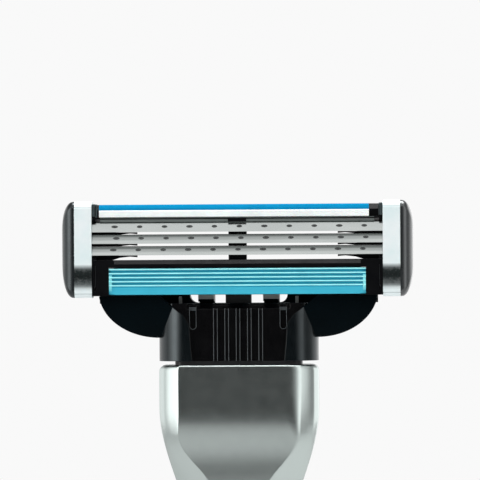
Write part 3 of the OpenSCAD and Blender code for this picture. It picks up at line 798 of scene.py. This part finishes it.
# the stops beside the strip: lowest and highest (y, z), x from and to, and the sides that have one
STRIP_STOPS = [((0.32, 3.75), (1.1, 5.42), 16.72, 16.91, (-1,)),
               ((0.4, 3.95), (1.1, 5.4), 16.89, 17.03, SIDES),
               ((0.24, 3.95), (1.1, 5.46), 17.01, 17.36, SIDES)]
STOP_CORNER, STOP_STEPS = 0.15, 4
LIP_OUTLINE = [(16.95, -1.8), (17.03, -1.8), (17.03, -4.3), (17.28, -4.85), (17.22, -4.9), (16.95, -4.33)]
LIP_Y = 0.3                             # front of the lips beside the pad
LIP_DEPTH = 0.3
BLADE_EDGE, BLADE_PITCH, BLADE_Y = -0.68, 1.385, 0.36   # the lowest edge, the step to the next, and their Y
LEAN = math.radians(22)                 # of the blades
SHORT_BLADE_HALF = 18.3
STRIP_HEIGHTS = (1.08, 1.16)            # of the two lower blades
SPOTS, SPOT_PITCH, FIRST_SPOT = 11, 2.984, -14.65
SPOT_SHIFTS = (-0.18, 0.18, 0.0)        # of each blade's row
SPOT_SIDES, SPOT_CRISP = 14, 60
SPOT_HALF, WIDE_SPOT_HALF, SPOT_HALF_HEIGHT = 0.34, 0.4, 0.17
WIDE_EVERY = 3                          # every third spot is a wide one
SPOT_UP = 0.64                          # how far above the edge the spots sit
SPOT_RINGS = ((1.0, 0.0), (0.72, 0.018), (0.3, 0.006))  # size and height of each ring of a spot
SPOT_CLEAR = 0.003                      # room under a spot


def fall(x, length, depth):
    """How far an edge has come in at x, on a quarter ellipse over the last length of the half width."""
    t = min(max((x - (HALF_W - length)) / length, 0.0), 1.0)
    return depth * (1 - math.sqrt(1 - t * t))


def end_caps():
    """Glossy end caps, swelling smoothly out of the housing."""
    for side, name in ((-1, "end_cap_left"), (1, "end_cap_right")):
        rings = []
        for i in range(CAP_RINGS + 1):
            x = CLIP_OUT + (HALF_W - CLIP_OUT) * math.sin(math.radians(90 * i / CAP_RINGS))
            low = (fall(x, *CAP_FRONT), -HALF_H + fall(x, *CAP_FOOT))
            high = (CART_D - fall(x, *CAP_BACK), HALF_H - fall(x, *CAP_TOP))
            outline = rounded_rect(low, high, CAP_CORNER, CAP_CORNER, CAP_STEPS)
            rings.append([head_point(side * x, y, z) for y, z in outline])
        cap = lofted(name, rings)
        smooth_by_angle(cap, CAP_CRISP)
        place(cap, "cartridge", GLOSS[side], "gloss_black")


def fins():
    """Guard pad: five soft ridges over a plain lower band, closed off at both ends of the lower ridges."""
    back, face, groove = 0.88, 0.06, 0.42
    low, top, half = fin_lo.z - HEAD_Z, fin_hi.z - HEAD_Z, fin_hi.x
    outline = [(back, low), (0.34, low), (0.26, low + 0.1), (0.22, low + 0.85), (0.3, low + 0.97),
               (groove, low + 1.0)]
    for i in range(RIDGES):
        z = top - TOP_BAND - (RIDGES - 1 - i) * RIDGE_PITCH
        tip = arc((face + RIDGE_RADII[0], z), RIDGE_RADII, 270, 90, RIDGE_STEPS)
        outline += [(groove, z - RIDGE_HALF)] + tip + [(groove, z + RIDGE_HALF)]
    parts = [prism("guard_pad", outline + [(groove, top), (back, top)], "X", -half, half)]
    closing = [(back, low), (0.34, low), (face + 0.1, low + 0.5), (face + 0.06, low + 1.0),
               (face + 0.06, top - 0.9), (face + 0.2, top - 0.75), (back, top - 0.75)]
    for side in SIDES:
        parts.append(prism("end", closing, "X", half - END_IN, half - END_OUT, side))
    pad = joined("guard_pad", parts)
    smooth_by_angle(pad, PAD_CRISP)
    place(pad, "cartridge", FINS, "fin_cyan", "guard_fins")


def housing():
    """The black frame, its end caps, the ledge and stops by the strip, and the lips beside the pad."""
    core = cad_copy("cartridge_housing", "housing_core", CLIP_OUT)
    smooth_by_angle(core)
    place(core, "cartridge", FRAME, "gloss_black", "cartridge_housing")
    end_caps()
    ledge = prism("cap_ledge", LEDGE_OUTLINE, "X", -LEDGE_HALF, LEDGE_HALF)
    place(ledge, "cartridge", LEDGE, "gloss_black")
    stops = []
    for side in SIDES:
        for low, high, near, far, sides in STRIP_STOPS:
            if side in sides:
                outline = rounded_rect(low, high, STOP_CORNER, STOP_CORNER, STOP_STEPS)
                stops.append(prism("stop", outline, "X", near, far, side))
    place(joined("strip_stops", stops), "cartridge", STOP, "gloss_black")
    lips = [prism("groove_lip", LIP_OUTLINE, "Y", LIP_Y, LIP_Y + LIP_DEPTH, side) for side in SIDES]
    place(joined("groove_lips", lips), "cartridge", LIP, "gloss_black")


def short_blades():
    """The strips of the two lower blades."""
    def leaned(i, points):
        """The (y, z) of points given as depth and height about the edge of blade i."""
        return [(BLADE_Y + u * math.cos(LEAN) + v * math.sin(LEAN),
                 BLADE_EDGE + i * BLADE_PITCH - u * math.sin(LEAN) + v * math.cos(LEAN)) for u, v in points]
    for i, top in enumerate(STRIP_HEIGHTS):
        outline = [(0, 0), (0.02, 0.003), (0.05, 0.04), (0.1, 0.3), (0.1, top), (0, top), (0, 0.3)]
        blade = prism(f"blade_strip_{i + 1}", leaned(i, outline), "X", -SHORT_BLADE_HALF, SHORT_BLADE_HALF)
        place(blade, f"blade_unit_{i + 1}", LOW_BLADE, "blade_steel", f"blade_{i + 1}")


def weld_spots():
    """Shallow oval weld marks along each blade, closed underneath."""
    up = SPOT_UP / math.cos(LEAN)
    for i, shift in enumerate(SPOT_SHIFTS):
        verts, faces = [], []
        edge = BLADE_EDGE + i * BLADE_PITCH
        for k in range(SPOTS):
            x0 = FIRST_SPOT + shift + k * SPOT_PITCH
            half = SPOT_HALF if k % WIDE_EVERY else WIDE_SPOT_HALF
            base = len(verts)
            for scale, rise in SPOT_RINGS:
                off = SPOT_CLEAR + rise
                for j in range(SPOT_SIDES):
                    a = 2 * math.pi * j / SPOT_SIDES
                    dx = half * scale * math.cos(a)
                    s = up + SPOT_HALF_HEIGHT * scale * math.sin(a)
                    y = BLADE_Y + s * math.sin(LEAN) - off * math.cos(LEAN)
                    z = edge + s * math.cos(LEAN) + off * math.sin(LEAN)
                    verts.append(head_point(x0 + dx, y, z))
            last = base + (len(SPOT_RINGS) - 1) * SPOT_SIDES
            for a in range(base, last, SPOT_SIDES):
                b = a + SPOT_SIDES
                for j in range(SPOT_SIDES):
                    m = (j + 1) % SPOT_SIDES
                    faces.append((a + j, a + m, b + m, b + j))
            faces.append(tuple(last + j for j in range(SPOT_SIDES)))
            faces.append(tuple(base + j for j in range(SPOT_SIDES)))
        spots = mesh_object(f"weld_spots_{i + 1}", verts, faces)
        smooth_by_angle(spots, SPOT_CRISP)
        place(spots, f"blade_unit_{i + 1}", WELD, "blade_steel")


# ---------------------------------------------------------------- yoke
BOX_HALF, BOX_FRONT, BOX_BACK, BOX_LOW, BOX_TOP = 9.58, 1.6, 8.6, -13.42, -6.5
CORNER_R, BACK_R, BOX_STEPS = 3.2, 2.5, 16
RIB_HALF = 0.25
RIBS_X = [i * 1.355 for i in range(-2, 3)]
APEX = (7.85, -6.97)                    # where seam, wing and corner meet, seen from the front
HALF_SEAM = [(5.45, BOX_LOW - 1), (5.76, -11.4), (5.9, -8.98), (6.65, -7.93), APEX, (8.2, -6.6), (9.1, -5.4)]
PANEL_HALF = 5.95                       # half width of the satin face
BROW = [(1.4, -5.8), (2.85, -5.8), (2.5, -6.62), (1.98, -7.2), (1.4, -7.2)]
BROW_HALF = 6.2
TONGUE_HALF, TONGUE_Y0, TONGUE_Y1, TONGUE_TOP = 7.65, 2.9, 7.3, -6.55
WINDOW_HALF = 5.87                      # of the opening above the tongue
SLOT_IN, SLOT_OUT, SLOT_R, SLOT_STEPS = 5.0, 5.84, 0.42, 14
SLOT_FOOT = (5.42, -9.2)                # middle of the round lower end of a slot
SLOT_TOP, SLOT_DEPTH = -6.0, 0.85
# the round lower end of a slot, from its inner side to its outer side
SLOT_END = [(SLOT_IN, SLOT_FOOT[1])] + arc(SLOT_FOOT, (SLOT_R, SLOT_R), 180, 360, SLOT_STEPS)
WING_LOW, WING_TIP, WING_ROWS, WING_COLS = -10.62, -5.62, 40, 12
RIM_MIDDLE, RIM_RADII = (9.5, -5), (7.25, 5.62)         # ellipse of a wing's outer rim
WING_BACK = 7.4
BAR_Y, BAR_TOP = 4.9, -4.4              # front and top of the bar along the top of a wing
PIVOT = (2.6, -3.8)
EAR_R, EAR_STEPS, EAR_IN, EAR_OUT = 1.45, 28, 15, 16.6
PIN_R, PIN_STEPS, PIN_IN, PIN_OUT = 0.8, 23, 16.5, 18.3
FILLET_FOOT, FILLET_RADII, FILLET_STEPS = (4.86, -5.5), (1.0, 0.95), 10
FINGER_IN, FINGER_OUT, FINGER_BACK = 2.95, 4.86, 8.2    # the stop fingers
LIP_R, LIP_IN, LIP_OUT, LIP_TOP = 0.36, 5.06, 5.78, -6.95       # inner line of the pale lip round a slot, a thin rim whose paleness is a painted highlight
EDGE_WIDTH = 0.06                       # of the pale lines along the ribs, which are painted highlights


def crease_x(z):
    """Where the wing meets the corner of the box, seen from the front."""
    return APEX[0] + 0.41 * (APEX[1] - z)


def wing_y(x, z):
    """Front surface of the wing: from the box's rounded corner at the crease nearly straight out."""
    u = min(max(crease_x(z) - (BOX_HALF - CORNER_R), 0.0), CORNER_R) / CORNER_R
    return BOX_FRONT + CORNER_R * (1 - math.sqrt(1 - u * u)) + 0.1 * (x - crease_x(z))


def wing(side):
    """One wing: rows of points from the crease out to the rim, on its front and on its back."""
    fronts, backs = [], []
    for i in range(WING_ROWS + 1):
        z = WING_TIP + (WING_LOW - WING_TIP) * math.sin(math.radians(90 * i / WING_ROWS))
        share = max(1 - ((z - RIM_MIDDLE[1]) / RIM_RADII[1]) ** 2, 0.0)
        outer = RIM_MIDDLE[0] + RIM_RADII[0] * math.sqrt(share)
        inner = crease_x(z) - 0.25 if z < APEX[1] else APEX[0] + (z - APEX[1]) * 1.15
        row = [inner + (outer - inner) * j / WING_COLS for j in range(WING_COLS + 1)]
        fronts.append([head_point(side * x, wing_y(x, z), z) for x in row])
        backs.append([head_point(side * x, WING_BACK, z) for x in row])
    verts = [p for row in fronts + backs for p in row]
    n, shift = WING_COLS + 1, (WING_ROWS + 1) * (WING_COLS + 1)
    faces = []
    for i in range(WING_ROWS):
        for j in range(WING_COLS):
            quad = (i * n + j, i * n + j + 1, (i + 1) * n + j + 1, (i + 1) * n + j)
            faces += [quad, tuple(shift + k for k in reversed(quad))]
        for j in (0, WING_COLS):
            a, b = i * n + j, (i + 1) * n + j
            faces.append((a, b, b + shift, a + shift))
    for i in (0, WING_ROWS):
        for j in range(WING_COLS):
            a = i * n + j
            faces.append((a, a + 1, a + 1 + shift, a + shift))
    return mesh_object("wing", verts, faces)


def yoke_box():
    """The hollow box that plugs on the nose, with its front panel cut in and ribs left standing."""
    section = rounded_rect((-BOX_HALF, BOX_FRONT), (BOX_HALF, BOX_BACK), CORNER_R, BACK_R, BOX_STEPS)
    box = prism("yoke_box", section, "Z", BOX_LOW, BOX_TOP)
    seam = HALF_SEAM + [(-x, z) for x, z in reversed(HALF_SEAM)]
    panel = prism("panel", seam, "Y", 0.6, BOX_FRONT + 0.4)
    ribs = [block("rib", (x - RIB_HALF, BOX_FRONT + 0.12, BOX_LOW - 2), (x + RIB_HALF, 3, 0)) for x in RIBS_X]
    cut_away(panel, ribs)
    socket = block("socket", (-TONGUE_HALF, TONGUE_Y0, BOX_LOW - 1), (TONGUE_HALF, TONGUE_Y1, TONGUE_TOP))
    window = block("window", (-WINDOW_HALF, TONGUE_Y0, TONGUE_TOP - 0.1), (WINDOW_HALF, TONGUE_Y1, 0))
    cuts = [panel, socket, window]
    slot = [(SLOT_IN, SLOT_TOP)] + SLOT_END + [(SLOT_OUT, SLOT_TOP)]
    for side in SIDES:
        cuts.append(prism("slot", slot, "Y", 0, BOX_FRONT + SLOT_DEPTH, side))
    cuts.append(prism("brow", BROW, "X", -BROW_HALF, BROW_HALF))
    cut_away(box, cuts)
    smooth_by_angle(box)
    place(box, "yoke", YOKE, "yoke_black", "yoke")
    box.data.materials.append(PANEL)
    for poly in box.data.polygons:
        if abs(poly.center.x) < PANEL_HALF * MM and poly.center.z < (HEAD_Z + APEX[1]) * MM:
            poly.material_index = 1


def yoke_wings():
    """The wings with their top bars, the ears and pivot pins, and the stop fingers."""
    fillet = ([(5.9, -5.6), (5.9, TONGUE_TOP), (FILLET_FOOT[0], TONGUE_TOP)]
              + arc(FILLET_FOOT, FILLET_RADII, -90, 0, FILLET_STEPS))
    ear = arc(PIVOT, (EAR_R, EAR_R), 65, 295, EAR_STEPS) + [(4.2, -5.35), (4.9, -6), (5.3, -6), (5.3, -4.35)]
    pin = arc(PIVOT, (PIN_R, PIN_R), 0, 345, PIN_STEPS)
    parts = []
    for side in SIDES:
        parts.append(wing(side))
        parts.append(block("wing_top", (8, BAR_Y, BOX_TOP), (16.74, WING_BACK, BAR_TOP), side))
        parts.append(block("shoulder", (WINDOW_HALF, BAR_Y, BOX_TOP), (8.05, WING_BACK, BAR_TOP), side))
        parts.append(prism("fillet", fillet, "Y", BAR_Y, TONGUE_Y1, side))
        parts.append(prism("ear", ear, "X", EAR_IN, EAR_OUT, side))
        parts.append(prism("pivot_pin", pin, "X", PIN_IN, PIN_OUT, side))
        parts.append(block("finger", (FINGER_IN, 4.3, -6.3), (FINGER_OUT, FINGER_BACK, -4.9), side))
        parts.append(block("finger_root", (FINGER_IN, 7.5, -7), (FINGER_OUT, FINGER_BACK, -5), side))
    wings = joined("yoke_wings", parts)
    smooth_by_angle(wings)
    place(wings, "yoke", WING, "yoke_black")


def panel_edge_highlights():
    """Pale lips round the slots, a pale sill at the top of each, and pale lines along the ribs, all painted
    highlights.
    """
    round_end = arc(SLOT_FOOT, (LIP_R, LIP_R), 360, 180, SLOT_STEPS)
    inner_line = [(LIP_OUT, LIP_TOP)] + round_end + [(LIP_IN, LIP_TOP)]
    slot_lip = [(SLOT_IN, LIP_TOP)] + SLOT_END + [(SLOT_OUT, LIP_TOP)] + inner_line
    lips = []
    for side in SIDES:
        lips.append(prism("lip", slot_lip, "Y", BOX_FRONT + 0.34, BOX_FRONT + 0.5, side))
        lips.append(block("sill_highlight", (5.02, BOX_FRONT + 0.6, -7.35), (5.82, BOX_FRONT + 0.86, LIP_TOP), side))
    for rib_x in RIBS_X:
        # painted highlights along both edges of each rib
        for x in (rib_x - RIB_HALF, rib_x + RIB_HALF - EDGE_WIDTH):
            lips.append(block("rib_edge_highlight", (x, BOX_FRONT + 0.1, BOX_LOW + 0.02),
                              (x + EDGE_WIDTH, BOX_FRONT + 0.3, -7.1)))
    place(joined("panel_edge_highlights", lips), "yoke", LIP, "yoke_black")


def stop_tips():
    """Grey tips on the stop fingers and grey posts beside them."""
    tips = []
    for side in SIDES:
        tips.append(block("tip", (FINGER_IN, 4.24, -6.02), (FINGER_OUT, 4.32, -5.0), side))
        tips.append(block("post", (6.82, 4.3, -6.5), (7.2, 4.95, -5.7), side))
    place(joined("stop_tips", tips), "yoke", TIP, "yoke_black")


# ---------------------------------------------------------------- springs
COIL_STEPS, WIRE_SIDES = 24, 10         # steps in one turn, and sides of the wire


def coil_spring(name, node, turns, wire):
    """A round-wire compression spring that fills its CAD node's box."""
    low, high = box_mm(node)
    cx, cy = (low.x + high.x) / 2, (low.y + high.y) / 2
    radius, length = (high.x - low.x) / 2 - wire, high.z - low.z
    steps = turns * COIL_STEPS
    rings = []
    for i in range(steps + 1):
        turn = 2 * math.pi * i / COIL_STEPS
        z = low.z + wire + (length - 2 * wire) * i / steps
        ring = []
        for k in range(WIRE_SIDES):
            around = 2 * math.pi * k / WIRE_SIDES
            out = radius + wire * math.cos(around)
            ring.append((cx + out * math.cos(turn), cy + out * math.sin(turn), z + wire * math.sin(around)))
        rings.append(ring)
    coil = place(lofted(name, rings), "handle", SPRING, "spring_steel", node)
    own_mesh(coil)


def springs():
    """The plunger's spring and the eject button's."""
    coil_spring("plunger_coil", "plunger_spring", turns=8, wire=0.13)
    coil_spring("button_coil", "button_spring", turns=14, wire=0.11)


# ---------------------------------------------------------------- carried-over CAD nodes
def carried_over():
    """Gives the CAD nodes that stay in view their finishes."""
    finishes = {
        "clip_left": CLIP, "clip_right": CLIP, "lubricating_strip": WHITE, "indicator_stripe": BLUE,
        "nose": NOSE, "plunger": NOSE, "nose_pin": SPRING, "ejector": EJECTOR, "eject_button": BUTTON,
        "rear_cover": COVER, "front_grip": RUBBER, "rear_grip": RUBBER, "end_cap": CAP, "blade_3": BLADE,
    }
    for i in (1, 2, 3):
        finishes[f"blade_support_{i}"] = SUPPORT
    for name, finish in finishes.items():
        data = nodes[name].data
        data.materials.clear()
        data.materials.append(finish)


studio()
carried_over()
housing()
fins()
short_blades()
weld_spots()
yoke_box()
yoke_wings()
panel_edge_highlights()
stop_tips()
handle()
springs()
